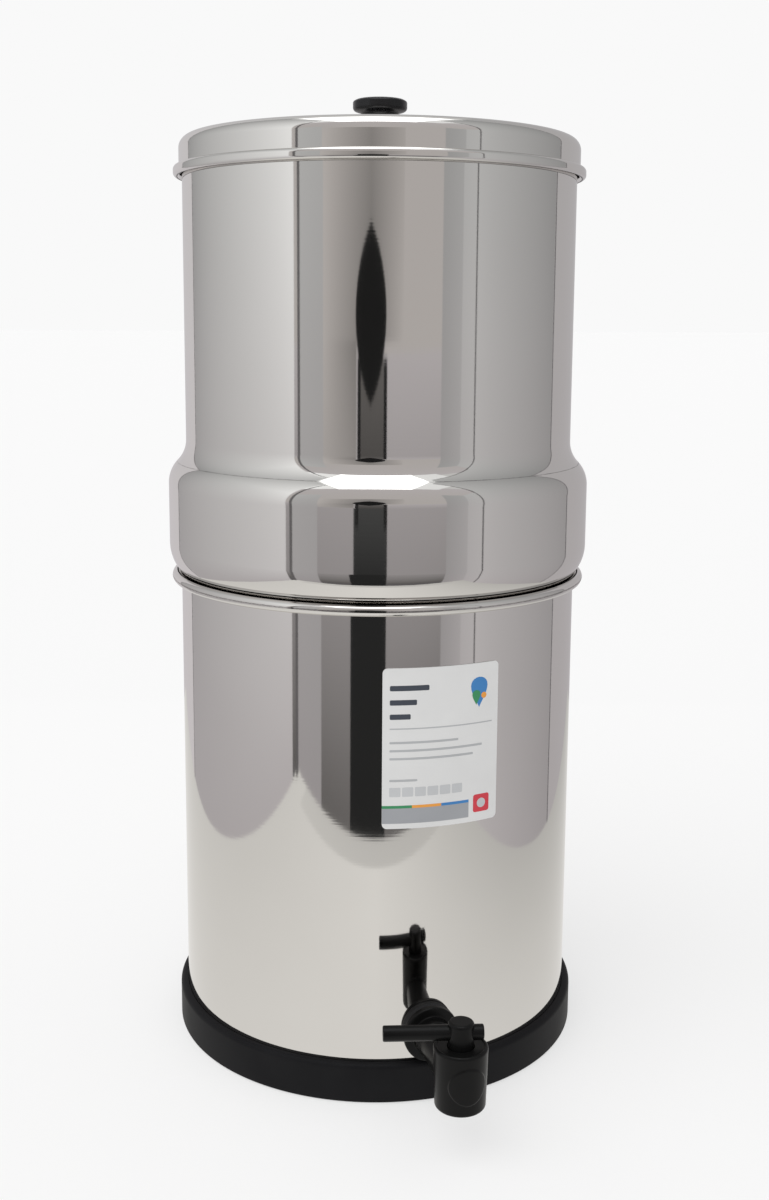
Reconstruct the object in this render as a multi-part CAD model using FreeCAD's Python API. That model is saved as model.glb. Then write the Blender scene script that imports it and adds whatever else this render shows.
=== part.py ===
import FreeCAD, Part
import math
import os

# Gravity water filter: two stacked steel chambers, a lid, filter candles inside and a lever tap.
# Millimetres, +Z up. The origin is on the chamber axis at the table, and the tap faces -Y.

# Steel sheet of both chambers and the lid
sheet = 0.7
rest_gap = 0.3  # left where one lift-off piece stands on another
seam_gap = 0.5  # between a rolled edge and the wall beside it

# Small edges and allowances that several pieces share
fine_edge = 0.3
soft_edge = 0.4
end_edge = 0.8
cut_past = 1.0  # how far a cutting shape runs past what it cuts

# Base ring
ring_height = 20.0
ring_wall = 4.0
ring_lip_width = 9.0
ring_lip_thickness = 3.0
ring_top_round = 2.4
ring_foot_round = 1.0
ring_fit = 0.05

# Lower chamber
lower_r = 105.0
lower_height = 248.0
lower_corner_round = 5.0
rim_roll_r = 2.8

# Upper chamber
upper_wall_inset = 3.2  # the upper wall stands this far inside the lower one's outside
upper_height = 227.0
bulge_overhang = 6.1  # the bulge stands this far outside the lower wall
bulge_corner_round = 22.1
bulge_height = 53.4
shoulder_height = 23.0
shoulder_arc_share = 0.98  # share of the step that its two arcs take, the rest is straight
hem_depth = 7.0
hem_round = 0.65

# Lid
lid_clearance = 0.85
lid_depth = 20.1
lid_shoulder_round = 6.0
lid_bead_r = 1.83
lid_bead_height = 5.3

# Lid knob, its screw and washer
knob_height = 20.2
knob_base_r = 10.0
knob_base_height = 2.4
knob_neck_r = 8.7
knob_disc_r = 14.0
knob_disc_height = 6.0
knob_flare_round = 2.6
knob_base_round = 1.0
knob_base_taper = 1.2  # height in which the base narrows to the neck
knob_under_drop = 1.0  # the disc's underside meets the neck this far below its edge
knob_under_rise = 0.6
knob_under_round = 2.0
knob_crown_drop = 0.9
knob_crown_inset = 1.8
knob_crown_round = 1.2
screw_r = 2.5
screw_reach = 10.0
screw_head_r = 4.7
screw_head_height = 3.0
screw_head_round = 1.4
screw_tip_round = 0.5
screw_slot_width = 1.3
screw_slot_depth = 1.6
screw_clearance = 0.2
thread_fit = 0.05
knob_washer_r = 7.5
knob_washer_thickness = 1.2

# Label on the lower chamber
label_width = 59.6
label_height = 79.4
label_bottom = 140.6
label_turn = 3.0  # degrees from the tap's azimuth, towards +X
label_thickness = 0.25
label_glue = 0.18
label_corner_round = 2.5

# Tap: shank, flange and washers at the chamber wall
tap_z = 35.3
tap_reach = 50.5  # chamber wall to the axis of the tap's barrel
shank_r = 8.0
shank_bore_r = 4.5
shank_inside = 22.0
tap_hole_clearance = 0.3
flange_r = 14.0
flange_thickness = 3.3
flange_edge_round = 0.8
outer_washer_thickness = 2.5
inner_washer_thickness = 3.0
washer_r = 13.7
lock_nut_flats = 24.0
lock_nut_height = 7.0
lock_nut_chamfer = 1.2
neck_r = 8.6
neck_shoulder_r = 9.6
neck_shoulder_length = 6.0
neck_shoulder_round = 3.5
neck_taper = 1.5  # length in which the shoulder narrows to the neck
neck_taper_round = 1.0

# Tap barrel
barrel_top_r = 12.8
barrel_foot_r = 11.9
barrel_below = 11.0
barrel_above = 18.9
barrel_top_round = 1.2
barrel_foot_round = 1.6
outlet_r = 7.5
outlet_depth = 5.2
recess_r = 11.1
recess_depth = 3.4
boss_r = 8.8
boss_raise = 0.5
boss_above = 4.2  # centre of the round boss above the tap's axis

# Tap plug, which turns in the barrel
plug_r = 9.45
plug_fit = 0.05
plug_bore_r = 6.0
plug_port_r = 4.0
plug_roof = 6.0
collar_r = 10.9
collar_thickness = 1.5
collar_gap = 0.1
stem_r = 6.1
stem_round = 1.6
stem_top_above = 30.5
lever_turn_range = 102.0
stop_width = 18.0  # degrees taken by the fixed stop
stop_clearance = 1.0  # degrees at each end of the collar's notch
ring_thickness = 1.2
ring_gap = 0.1
ring_stem_clearance = 0.3
ring_edge_round = 0.2
oring_cord_r = 0.73
oring_groove_width = 1.8
oring_spacing = 3.2
oring_above = 6.6
oring_slack = 0.03  # kept from the bore
oring_squeeze = 0.02  # cord radius lost in the groove

# Lever rod through the plug's head
lever_above = 25.0
lever_r = 3.6
lever_long = 36.0
lever_stub = 10.5
lever_end_round = 0.7
lever_back_turn = 12.0  # degrees that the closed lever leans back past square, towards the wall

# Filter candles
candle_spread = 90.0  # centre to centre
candle_r = 25.0
candle_height = 172.0
candle_wall = 7.0
candle_tip_flat = 1.0  # radius of the flat left on top of the domes
core_clearance = 0.2
cap_r = 27.5
cap_height = 14.0
cap_floor = 3.0
cap_fit = 0.05
cap_edge_round = 1.2
candle_stem_r = 5.0
candle_stem_bore_r = 2.0
candle_stem_below = 26.0
candle_hole_clearance = 0.4
candle_washer_r = 15.0
candle_washer_thickness = 3.0
wing_hub_r = 9.0
wing_hub_height = 8.0
wing_hub_taper = 1.5
wing_hub_round = 0.6
wing_drop = 1.0  # the wings start this far below the chamber's floor
wing_span = 36.0
wing_thickness = 3.0
wing_height = 13.0
wing_round = 3.0

# Heights and radii that follow
lower_inner_r = lower_r - sheet
upper_wall_r = lower_r - upper_wall_inset
bulge_r = lower_r + bulge_overhang
lower_floor_top = ring_lip_thickness + sheet
rim_top = ring_lip_thickness + lower_height
rim_centre_r = lower_inner_r + rim_roll_r
rim_centre_z = rim_top - rim_roll_r
rim_outer_r = lower_inner_r + 2 * rim_roll_r
corner_centre_r = bulge_r - bulge_corner_round
corner_reach = bulge_corner_round + rim_roll_r + rest_gap
corner_rise = math.sqrt(corner_reach ** 2 - (rim_centre_r - corner_centre_r) ** 2)
upper_bottom = rim_centre_z + corner_rise - bulge_corner_round
upper_floor_top = upper_bottom + sheet
upper_top = upper_bottom + upper_height
lid_inner_r = upper_wall_r + lid_clearance
lid_inner_round = lid_shoulder_round - sheet
hem_offset = upper_wall_r - hem_round - (lid_inner_r - lid_inner_round)
hem_reach = lid_inner_round - hem_round - rest_gap
lid_rise = math.sqrt(hem_reach ** 2 - hem_offset ** 2)
lid_inner_top = upper_top - hem_round - lid_rise + lid_inner_round
lid_top = lid_inner_top + sheet
tap_y = -(lower_r + tap_reach)
barrel_foot = tap_z - barrel_below
barrel_top = tap_z + barrel_above
recess_floor = barrel_top - recess_depth
plug_foot = barrel_foot + outlet_depth
collar_top = recess_floor + collar_gap + collar_thickness
port_azimuth = 90.0 - lever_turn_range
lever_azimuth = 180.0 - lever_back_turn
cap_bottom = upper_floor_top + candle_washer_thickness
candle_bottom = cap_bottom + cap_floor


def offset_path(points, distance):
    """The same path moved to its left by a distance; each point is (r, z, rounding)."""
    moved = []
    last = len(points) - 1
    for i, (r, z, rounding) in enumerate(points):
        normals = []
        for a, b in ((i - 1, i), (i, i + 1)):
            if a >= 0 and b <= last:
                dr = points[b][0] - points[a][0]
                dz = points[b][1] - points[a][1]
                length = math.hypot(dr, dz)
                normals.append((-dz / length, dr / length))
        first = normals[0]
        second = normals[-1]
        scale = distance / (1 + first[0] * second[0] + first[1] * second[1])
        left_turn = first[0] * second[1] - first[1] * second[0] > 0
        new_rounding = 0.0
        if rounding > 0:
            new_rounding = rounding - distance if left_turn else rounding + distance
        moved.append((r + (first[0] + second[0]) * scale, z + (first[1] + second[1]) * scale, new_rounding))
    return moved


def rounded_face(points):
    """A closed face in the XZ plane through (r, z, rounding) points, with each corner rounded."""
    count = len(points)
    ends = []
    for i in range(count):
        corner = FreeCAD.Vector(points[i][0], 0, points[i][1])
        before = FreeCAD.Vector(points[i - 1][0], 0, points[i - 1][1])
        after = FreeCAD.Vector(points[(i + 1) % count][0], 0, points[(i + 1) % count][1])
        rounding = points[i][2]
        into = (before - corner).normalize()
        out = (after - corner).normalize()
        half = into.getAngle(out) / 2
        if rounding < 1e-6 or half > math.pi / 2 - 1e-6:
            ends.append((corner, None, corner))
            continue
        tangent = rounding / math.tan(half)
        bisector = (into + out).normalize()
        middle = corner + bisector * (rounding / math.sin(half) - rounding)
        ends.append((corner + into * tangent, middle, corner + out * tangent))
    edges = []
    for i in range(count):
        start, middle, end = ends[i]
        following = ends[(i + 1) % count][0]
        if middle is not None:
            edges.append(Part.Arc(start, middle, end).toShape())
        if end.distanceToPoint(following) > 1e-5:
            edges.append(Part.LineSegment(end, following).toShape())
    return Part.Face(Part.Wire(Part.__sortEdges__(edges)))


def turned(points):
    """A solid turned about the Z axis from a closed profile."""
    return rounded_face(points).revolve(FreeCAD.Vector(), FreeCAD.Vector(0, 0, 1), 360)


def rod(radius, length, base, direction=(0, 0, 1)):
    return Part.makeCylinder(radius, length, FreeCAD.Vector(*base), FreeCAD.Vector(*direction))


def along_tap(shape):
    """Lay a shape turned about Z along the tap's axis; its height becomes the distance from the chamber axis."""
    laid = shape.copy()
    laid.rotate(FreeCAD.Vector(), FreeCAD.Vector(1, 0, 0), 90)
    laid.translate(FreeCAD.Vector(0, 0, tap_z))
    return laid


def in_barrel(shape):
    """Move a shape from the Z axis to the axis of the tap's barrel."""
    placed = shape.copy()
    placed.translate(FreeCAD.Vector(0, tap_y, 0))
    return placed


def sector(inner, outer, bottom, height, azimuth, width):
    """A block of a ring, centred on an azimuth in degrees from +X."""
    profile = [(inner, bottom, 0), (outer, bottom, 0), (outer, bottom + height, 0), (inner, bottom + height, 0)]
    block = rounded_face(profile).revolve(FreeCAD.Vector(), FreeCAD.Vector(0, 0, 1), width)
    block.rotate(FreeCAD.Vector(), FreeCAD.Vector(0, 0, 1), azimuth - width / 2)
    return block


def rounded_prism(width, height, rounding, depth):
    """A plate in the XZ plane, centred on the origin, that runs along -Y from 0 to a depth."""
    w = width / 2
    h = height / 2
    corners = [(-w, -h, rounding), (w, -h, rounding), (w, h, rounding), (-w, h, rounding)]
    return rounded_face(corners).extrude(FreeCAD.Vector(0, -depth, 0))


def base_ring():
    inner = lower_r + ring_fit
    outer = inner + ring_wall
    lip = lower_r - ring_lip_width
    return turned([
        (lip, 0, soft_edge),
        (outer, 0, ring_foot_round),
        (outer, ring_height, ring_top_round),
        (inner, ring_height, fine_edge),
        (inner, ring_lip_thickness, 0),
        (lip, ring_lip_thickness, soft_edge),
    ])


def lower_chamber():
    seam_r = lower_r + seam_gap
    roll_bottom = rim_top - 2 * rim_roll_r
    inside = [
        (0, lower_floor_top, 0),
        (lower_inner_r, lower_floor_top, lower_corner_round - sheet),
        (lower_inner_r, rim_top, rim_roll_r),
        (rim_outer_r, rim_top, rim_roll_r),
        (rim_outer_r, roll_bottom, rim_roll_r),
        (seam_r, roll_bottom, 0),
    ]
    outside = offset_path(inside, -sheet)
    shell = turned(inside + outside[::-1])
    hole_r = shank_r + tap_hole_clearance
    return shell.cut(rod(hole_r, lower_r, (0, -lower_r / 2, tap_z), (0, -1, 0)))


def shoulder_corners():
    """The two corners of the S-shaped step from the bulge to the straight wall, and their rounding."""
    drop = bulge_r - upper_wall_r
    half = math.atan(drop / shoulder_height)
    rounding = shoulder_arc_share * shoulder_height / (2 * math.sin(2 * half))
    tangent = rounding * math.tan(half) / shoulder_arc_share
    low = upper_bottom + bulge_height + tangent
    high = upper_bottom + bulge_height + shoulder_height - tangent
    return (bulge_r, low, rounding), (upper_wall_r, high, rounding)


def candle_places():
    return [(-candle_spread / 2, 0), (candle_spread / 2, 0)]


def upper_chamber():
    low, high = shoulder_corners()
    outside = [
        (0, upper_bottom, 0),
        (bulge_r, upper_bottom, bulge_corner_round),
        low,
        high,
        (upper_wall_r, upper_top - hem_depth, 0),
    ]
    inside = offset_path(outside, sheet)
    hem = [
        (upper_wall_r, upper_top, hem_round),
        (upper_wall_r - 2 * sheet, upper_top, hem_round),
        (upper_wall_r - 2 * sheet, upper_top - hem_depth, 0),
    ]
    shell = turned(outside[:-1] + hem + inside[::-1])
    for x, y in candle_places():
        shell = shell.cut(rod(candle_stem_r + candle_hole_clearance, 4 * sheet, (x, y, upper_bottom - sheet)))
    return shell


def lid():
    skirt_r = lid_inner_r + sheet
    bead_outer_r = lid_inner_r + 2 * lid_bead_r
    bead_bottom = lid_top - lid_depth
    bead_top = bead_bottom + lid_bead_height
    inside = [
        (0, lid_inner_top, 0),
        (lid_inner_r, lid_inner_top, lid_inner_round),
        (lid_inner_r, bead_bottom, lid_bead_r),
        (bead_outer_r, bead_bottom, lid_bead_r),
        (bead_outer_r, bead_top, lid_bead_r),
        (skirt_r + seam_gap, bead_top, 0),
    ]
    outside = offset_path(inside, sheet)
    shell = turned(inside + outside[::-1])
    return shell.cut(rod(screw_r + screw_clearance, 4 * sheet, (0, 0, lid_inner_top - sheet)))


def lid_knob():
    top = lid_top + knob_height
    disc_bottom = top - knob_disc_height
    body = turned([
        (0, lid_top, 0),
        (knob_base_r, lid_top, soft_edge),
        (knob_base_r, lid_top + knob_base_height, knob_base_round),
        (knob_neck_r, lid_top + knob_base_height + knob_base_taper, knob_base_round),
        (knob_neck_r, disc_bottom - knob_under_drop, knob_flare_round),
        (knob_disc_r, disc_bottom + knob_under_rise, knob_under_round),
        (knob_disc_r, top - knob_crown_drop, knob_crown_round),
        (knob_disc_r - knob_crown_inset, top, end_edge),
        (0, top, 0),
    ])
    return body.cut(rod(screw_r + thread_fit, screw_reach + 2 * thread_fit, (0, 0, lid_top)))


def knob_washer():
    bottom = lid_inner_top - knob_washer_thickness
    ring = rod(knob_washer_r, knob_washer_thickness, (0, 0, bottom))
    hole = rod(screw_r + screw_clearance, 3 * knob_washer_thickness, (0, 0, bottom - knob_washer_thickness))
    return ring.cut(hole)


def knob_screw():
    seat = lid_inner_top - knob_washer_thickness
    tip = lid_top + screw_reach
    head_bottom = seat - screw_head_height
    body = turned([
        (0, head_bottom, 0),
        (screw_head_r, head_bottom, screw_head_round),
        (screw_head_r, seat, 0),
        (screw_r, seat, 0),
        (screw_r, tip, screw_tip_round),
        (0, tip, 0),
    ])
    for angle in (0, 90):
        slot = Part.makeBox(2 * screw_r, screw_slot_width, 2 * screw_slot_depth)
        slot.translate(FreeCAD.Vector(-screw_r, -screw_slot_width / 2, head_bottom - screw_slot_depth))
        slot.rotate(FreeCAD.Vector(), FreeCAD.Vector(0, 0, 1), angle)
        body = body.cut(slot)
    return body


def front_label():
    inner = lower_r + label_glue
    band = sector(inner, inner + label_thickness, label_bottom, label_height, 0, 360)
    half_angle = label_width / lower_r / 2
    chord = 2 * inner * math.sin(half_angle)
    plate = rounded_prism(chord, label_height, label_corner_round, 2 * lower_r)
    plate.translate(FreeCAD.Vector(0, 0, label_bottom + label_height / 2))
    label = band.common(plate)
    label.rotate(FreeCAD.Vector(), FreeCAD.Vector(0, 0, 1), label_turn)
    return label


def barrel_profile(grow=0.0):
    """The barrel's outside, from its foot to its top."""
    return [
        (0, barrel_foot, 0),
        (barrel_foot_r + grow, barrel_foot, barrel_foot_round),
        (barrel_top_r + grow, barrel_top, barrel_top_round),
        (0, barrel_top, 0),
    ]


def tap_body():
    flange_back = lower_r + outer_washer_thickness
    flange_front = flange_back + flange_thickness
    shank_start = lower_inner_r - shank_inside
    stalk = turned([
        (0, shank_start, 0),
        (shank_r, shank_start, end_edge),
        (shank_r, flange_back, 0),
        (flange_r, flange_back, 0),
        (flange_r, flange_front, flange_edge_round),
        (neck_shoulder_r, flange_front, fine_edge),
        (neck_shoulder_r, flange_front + neck_shoulder_length, neck_shoulder_round),
        (neck_r, flange_front + neck_shoulder_length + neck_taper, neck_taper_round),
        (neck_r, -tap_y, 0),
        (0, -tap_y, 0),
    ])
    boss_block = rod(boss_r, 2 * barrel_top_r, (0, tap_y, tap_z + boss_above), (0, -1, 0))
    boss = in_barrel(turned(barrel_profile(boss_raise))).common(boss_block)
    body = along_tap(stalk).fuse([in_barrel(turned(barrel_profile())), boss])
    body = body.cut(rod(shank_bore_r, -tap_y - shank_start, (0, -shank_start, tap_z), (0, -1, 0)))
    hollow = turned([
        (0, barrel_foot - cut_past, 0),
        (outlet_r, barrel_foot - cut_past, 0),
        (outlet_r, plug_foot - plug_fit, 0),
        (plug_r + plug_fit, plug_foot - plug_fit, 0),
        (plug_r + plug_fit, recess_floor, 0),
        (recess_r, recess_floor, 0),
        (recess_r, barrel_top + cut_past, 0),
        (0, barrel_top + cut_past, 0),
    ])
    body = body.cut(in_barrel(hollow))
    stop_height = collar_gap + collar_thickness
    stop = sector(plug_r + plug_fit, recess_r, recess_floor, stop_height, lever_azimuth + 180, stop_width)
    return body.fuse(in_barrel(stop)).removeSplitter()


def wall_washer(thickness, wall_face_r, from_inside):
    """A flat ring against the chamber's curved wall, shaped to it as the tightened nut presses it."""
    if from_inside:
        block = rod(washer_r, thickness, (0, -(wall_face_r - thickness), tap_z), (0, -1, 0))
        block = block.common(rod(wall_face_r, 4 * washer_r, (0, 0, tap_z - 2 * washer_r)))
    else:
        reach = wall_face_r / 4
        block = rod(washer_r, reach + thickness, (0, -(wall_face_r - reach), tap_z), (0, -1, 0))
        block = block.cut(rod(wall_face_r, 4 * washer_r, (0, 0, tap_z - 2 * washer_r)))
    return block.cut(rod(shank_r + thread_fit, 2 * wall_face_r, (0, 0, tap_z), (0, -1, 0)))


def tap_lock_nut():
    front = lower_inner_r - inner_washer_thickness
    back = front - lock_nut_height
    corner_r = lock_nut_flats / 2 / math.cos(math.pi / 6)
    corners = []
    for i in range(6):
        angle = math.pi / 3 * i
        corners.append((corner_r * math.cos(angle), corner_r * math.sin(angle), 0))
    hexagon = rounded_face(corners).extrude(FreeCAD.Vector(0, -lock_nut_height, 0))
    hexagon.translate(FreeCAD.Vector(0, -back, tap_z))
    drum = along_tap(turned([
        (0, back, 0),
        (corner_r - lock_nut_chamfer, back, 0),
        (corner_r, back + lock_nut_chamfer, 0),
        (corner_r, front - lock_nut_chamfer, 0),
        (corner_r - lock_nut_chamfer, front, 0),
        (0, front, 0),
    ]))
    nut = hexagon.common(drum)
    return nut.cut(rod(shank_r + thread_fit, 2 * lock_nut_height, (0, -(back - cut_past), tap_z), (0, -1, 0)))


def oring_heights():
    first = tap_z + oring_above
    return [first, first + oring_spacing]


def tap_plug():
    stem_top = tap_z + stem_top_above
    body = turned([
        (0, plug_foot, 0),
        (plug_r, plug_foot, fine_edge),
        (plug_r, recess_floor + collar_gap, 0),
        (collar_r, recess_floor + collar_gap, 0),
        (collar_r, collar_top, fine_edge),
        (stem_r, collar_top, 0),
        (stem_r, stem_top, stem_round),
        (0, stem_top, 0),
    ])
    body = body.cut(rod(plug_bore_r, tap_z + plug_roof - plug_foot + cut_past, (0, 0, plug_foot - cut_past)))
    port = rod(plug_port_r, 2 * plug_r, (0, 0, tap_z), (1, 0, 0))
    port.rotate(FreeCAD.Vector(), FreeCAD.Vector(0, 0, 1), port_azimuth)
    body = body.cut(port)
    groove_floor = plug_r + plug_fit - 2 * oring_cord_r
    for height in oring_heights():
        low = height - oring_groove_width / 2
        body = body.cut(sector(groove_floor, plug_r + cut_past, low, oring_groove_width, 0, 360))
    notch_width = lever_turn_range + stop_width + 2 * stop_clearance
    notch_middle = lever_azimuth + 180 - lever_turn_range / 2
    notch_height = collar_gap + collar_thickness + cut_past
    notch = sector(plug_r, collar_r + cut_past, recess_floor, notch_height, notch_middle, notch_width)
    body = body.cut(notch)
    hole = rod(lever_r + thread_fit, 4 * stem_r, (-2 * stem_r, 0, tap_z + lever_above), (1, 0, 0))
    hole.rotate(FreeCAD.Vector(), FreeCAD.Vector(0, 0, 1), lever_azimuth)
    return in_barrel(body.cut(hole))


def plug_o_rings():
    centre_r = plug_r + plug_fit - oring_cord_r - oring_slack
    cord_r = oring_cord_r - oring_squeeze
    rings = []
    for height in oring_heights():
        rings.append(in_barrel(Part.makeTorus(centre_r, cord_r, FreeCAD.Vector(0, 0, height))))
    return Part.makeCompound(rings)


def plug_retaining_ring():
    bottom = collar_top + ring_gap
    inner = stem_r + ring_stem_clearance
    return in_barrel(turned([
        (inner, bottom, ring_edge_round),
        (recess_r, bottom, 0),
        (recess_r, bottom + ring_thickness, 0),
        (inner, bottom + ring_thickness, ring_edge_round),
    ]))


def lever_rod():
    body = turned([
        (0, -lever_stub, 0),
        (lever_r, -lever_stub, lever_end_round),
        (lever_r, lever_long, lever_end_round),
        (0, lever_long, 0),
    ])
    body.rotate(FreeCAD.Vector(), FreeCAD.Vector(0, 1, 0), 90)
    body.rotate(FreeCAD.Vector(), FreeCAD.Vector(0, 0, 1), lever_azimuth)
    body.translate(FreeCAD.Vector(0, 0, tap_z + lever_above))
    return in_barrel(body)


def candle_ceramic(x, y):
    top = candle_bottom + candle_height
    inner = candle_r - candle_wall
    body = turned([
        (0, top, 0),
        (0, top - candle_wall, 0),
        (inner, top - candle_wall, inner - candle_tip_flat),
        (inner, candle_bottom, 0),
        (candle_r, candle_bottom, 0),
        (candle_r, top, candle_r - candle_tip_flat),
    ])
    body.translate(FreeCAD.Vector(x, y, 0))
    return body


def candle_core(x, y):
    top = candle_bottom + candle_height - candle_wall - core_clearance
    radius = candle_r - candle_wall - core_clearance
    body = turned([
        (0, candle_bottom, 0),
        (radius, candle_bottom, 0),
        (radius, top, radius - candle_tip_flat),
        (0, top, 0),
    ])
    body.translate(FreeCAD.Vector(x, y, 0))
    return body


def candle_base(x, y):
    pocket_r = candle_r + cap_fit
    stem_bottom = upper_bottom - candle_stem_below
    body = turned([
        (candle_stem_bore_r, stem_bottom, 0),
        (candle_stem_r, stem_bottom, end_edge),
        (candle_stem_r, cap_bottom, 0),
        (cap_r, cap_bottom, cap_edge_round),
        (cap_r, cap_bottom + cap_height, end_edge),
        (pocket_r, cap_bottom + cap_height, 0),
        (pocket_r, candle_bottom, 0),
        (candle_stem_bore_r, candle_bottom, 0),
    ])
    body.translate(FreeCAD.Vector(x, y, 0))
    return body


def candle_washer(x, y):
    ring = rod(candle_washer_r, candle_washer_thickness, (x, y, upper_floor_top))
    return ring.cut(rod(candle_stem_r + thread_fit, 3 * candle_washer_thickness, (x, y, upper_bottom)))


def candle_wing_nut(x, y):
    top = upper_bottom
    hub = turned([
        (0, top - wing_hub_height, 0),
        (wing_hub_r - wing_hub_taper, top - wing_hub_height, wing_hub_round),
        (wing_hub_r, top, 0),
        (0, top, 0),
    ])
    wings = rounded_prism(wing_span, wing_height, wing_round, wing_thickness)
    wings.translate(FreeCAD.Vector(0, wing_thickness / 2, top - wing_drop - wing_height / 2))
    nut = hub.fuse(wings)
    nut = nut.cut(rod(candle_stem_r + thread_fit, 3 * wing_height, (0, 0, top - 2 * wing_height)))
    nut.translate(FreeCAD.Vector(x, y, 0))
    return nut


nodes = {
    "base_ring": base_ring(),
    "lower_chamber": lower_chamber(),
    "front_label": front_label(),
    "tap_body": tap_body(),
    "tap_outer_washer": wall_washer(outer_washer_thickness, lower_r, False),
    "tap_inner_washer": wall_washer(inner_washer_thickness, lower_inner_r, True),
    "tap_lock_nut": tap_lock_nut(),
    "plug_retaining_ring": plug_retaining_ring(),
    "tap_plug": tap_plug(),
    "plug_o_rings": plug_o_rings(),
    "lever_rod": lever_rod(),
    "upper_chamber": upper_chamber(),
    "lid": lid(),
    "lid_knob": lid_knob(),
    "knob_washer": knob_washer(),
    "knob_screw": knob_screw(),
}
for number, (x, y) in enumerate(candle_places(), start=1):
    nodes["candle_%d_ceramic" % number] = candle_ceramic(x, y)
    nodes["candle_%d_carbon_core" % number] = candle_core(x, y)
    nodes["candle_%d_base" % number] = candle_base(x, y)
    nodes["candle_%d_washer" % number] = candle_washer(x, y)
    nodes["candle_%d_wing_nut" % number] = candle_wing_nut(x, y)

os.makedirs("parts", exist_ok=True)
for name, shape in nodes.items():
    shape.exportStep("parts/%s.step" % name)
    box = shape.BoundBox
    print("%-22s solids %d valid %s volume %9.1f  z %.2f to %.2f" % (
        name, len(shape.Solids), shape.isValid(), shape.Volume, box.ZMin, box.ZMax))
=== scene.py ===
import math

import bmesh
import bpy
from mathutils import Matrix, Vector


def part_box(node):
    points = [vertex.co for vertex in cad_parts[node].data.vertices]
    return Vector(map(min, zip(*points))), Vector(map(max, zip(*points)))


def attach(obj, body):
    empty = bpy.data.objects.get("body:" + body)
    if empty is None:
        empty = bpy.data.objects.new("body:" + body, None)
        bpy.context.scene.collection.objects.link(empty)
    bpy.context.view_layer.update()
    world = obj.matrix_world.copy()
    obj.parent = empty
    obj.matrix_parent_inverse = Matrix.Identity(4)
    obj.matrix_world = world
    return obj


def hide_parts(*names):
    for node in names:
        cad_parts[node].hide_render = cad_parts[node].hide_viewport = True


# Gravity water filter. Sizes are in millimetres and become metres when a mesh is made.
MM = 0.001

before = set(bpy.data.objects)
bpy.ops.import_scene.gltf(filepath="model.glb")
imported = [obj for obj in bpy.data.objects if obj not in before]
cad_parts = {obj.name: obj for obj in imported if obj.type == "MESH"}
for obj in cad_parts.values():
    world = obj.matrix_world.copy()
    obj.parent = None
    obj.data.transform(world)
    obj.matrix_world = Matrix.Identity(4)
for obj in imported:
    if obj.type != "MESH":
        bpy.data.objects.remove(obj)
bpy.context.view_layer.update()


def box_mm(node):
    """A node's lowest and highest corners in millimetres."""
    low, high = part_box(node)
    return [c / MM for c in low], [c / MM for c in high]


# Camera fitted to the photograph, in a frame where the tap stands at an angle to the right
PHOTO_HEIGHT = 1200
FOCAL_PX = 1406.0
CAMERA_BACK = 751.1
CAMERA_RIGHT = 3.7
CAMERA_UP = 385.4
CAMERA_PITCH = 9.14
CAMERA_ROLL = 0.365
CENTRE_ROW_PX = 540.0
SENSOR_MM = 36.0
NEAR_CLIP = 0.05
TAP_AZIMUTH = 15.0

# Steel shells
SHEET = 0.7
SEAM = 0.5
CORNER_ROUND = 5.0
RIM_ROLL = 2.8
BULGE_CORNER = 22.1
BULGE_HEIGHT = 53.4
SHOULDER_HEIGHT = 23.0
WALL_INSET = 3.2
BULGE_OVERHANG = 6.1
SHOULDER_ARC_SHARE = 0.98  # share of the step that its two arcs take
HEM_DEPTH = 7.0
HEM_ROUND = 0.65
LID_CLEARANCE = 0.85
LID_ROUND = 6.0
LID_BEAD = 1.83
LID_BEAD_HEIGHT = 5.3
SHELL_SEGMENTS = 256

# Base ring
RING_FIT = 0.05
RING_LIP = 9.0
RING_EDGE = 0.4
RING_SEAT_EDGE = 0.3
RING_FOOT_ROUND = 1.0
RING_TOP_ROUND = 2.4

# Lid knob
KNOB_SEGMENTS = 96
KNOB_BASE_R = 10.0
KNOB_BASE = 2.4
KNOB_BASE_EDGE = 0.4
KNOB_NECK_R = 8.7
KNOB_NECK_TAPER = 1.2
KNOB_NECK_ROUND = 1.0
KNOB_FLARE = 1.0
KNOB_FLARE_ROUND = 2.6
KNOB_DISC_R = 14.0
KNOB_DISC = 6.0
KNOB_DISC_RISE = 0.6
KNOB_DISC_LOW_ROUND = 2.0
KNOB_DISC_HIGH_ROUND = 1.2
KNOB_CROWN = 0.9
KNOB_CROWN_R = 12.2
KNOB_CROWN_ROUND = 0.8

# Tap
TAP_Z = 35.3
TAP_REACH = 50.5
SHANK_R = 8.0
SHANK_BORE = 4.5
SHANK_INSIDE = 22.0
FLANGE_R = 14.0
WASHER = 2.5
FLANGE = 3.3
MOULD_EDGE = 0.8
NECK_CORNER = 0.3
NECK_R = 8.6
NECK_SHOULDER = 9.6
NECK_SHOULDER_LENGTH = 6.0
NECK_SHOULDER_ROUND = 3.5
NECK_START = 7.5
NECK_START_ROUND = 1.0
BARREL_TOP_R = 12.8
BARREL_FOOT_R = 11.9
BARREL_FOOT = TAP_Z - 11.0
BARREL_TOP = TAP_Z + 18.9
BARREL_FOOT_ROUND = 1.6
BARREL_TOP_ROUND = 1.2
OUTLET_R = 7.5
OUTLET_DEPTH = 5.2
PLUG_BORE = 9.5
RECESS_R = 11.1
RECESS_DEPTH = 3.4
BOSS_R = 8.8
BOSS_ABOVE = 4.2
BOSS_RAISED = 0.5
CUT_PAST = 1.0
VOXEL = 0.3
SOFTEN_SHARE = 0.5
SOFTEN_ROUNDS = 4

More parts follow.
